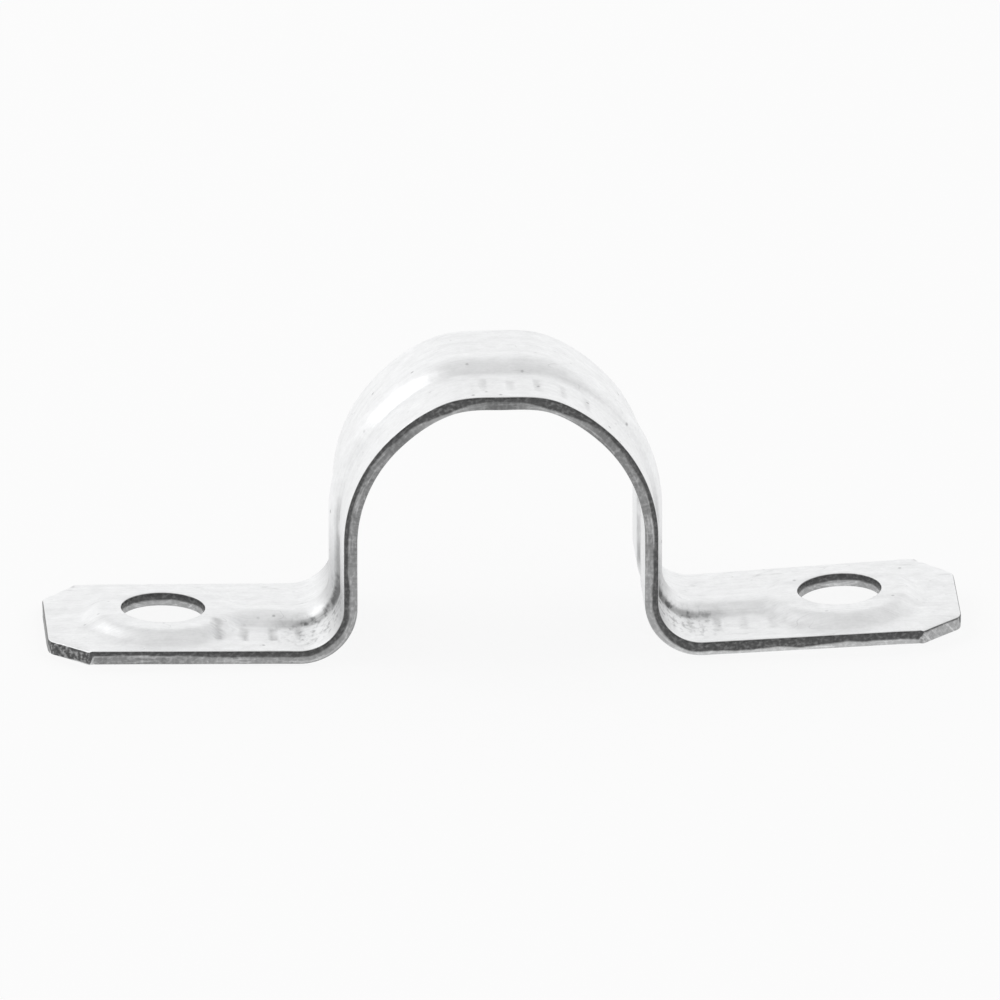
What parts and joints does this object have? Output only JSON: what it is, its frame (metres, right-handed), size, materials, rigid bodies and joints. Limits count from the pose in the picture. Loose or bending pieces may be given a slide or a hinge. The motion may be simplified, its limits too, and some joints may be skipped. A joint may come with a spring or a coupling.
{
  "type": "conduit strap",
  "caption": "Pressed steel strap that arches over a conduit, with a raised pad for a screw on each ear and a stiffening rib along the middle.",
  "frame": {"origin": "middle of the base, on the wall's surface, midway between the ends of the ears, 0.5 mm to the right of the middle of the saddle", "axes": "+X along the strap towards the ear that has sprung up more, +Y along the conduit, +Z away from the wall"},
  "size_m": [0.0752, 0.016, 0.024],
  "materials": {
    "zinc_plate": "bright zinc plate, rolled, with darker sheared edges"
  },
  "bodies": {
    "root": {"strap": "zinc_plate"}
  },
  "joints": []
}
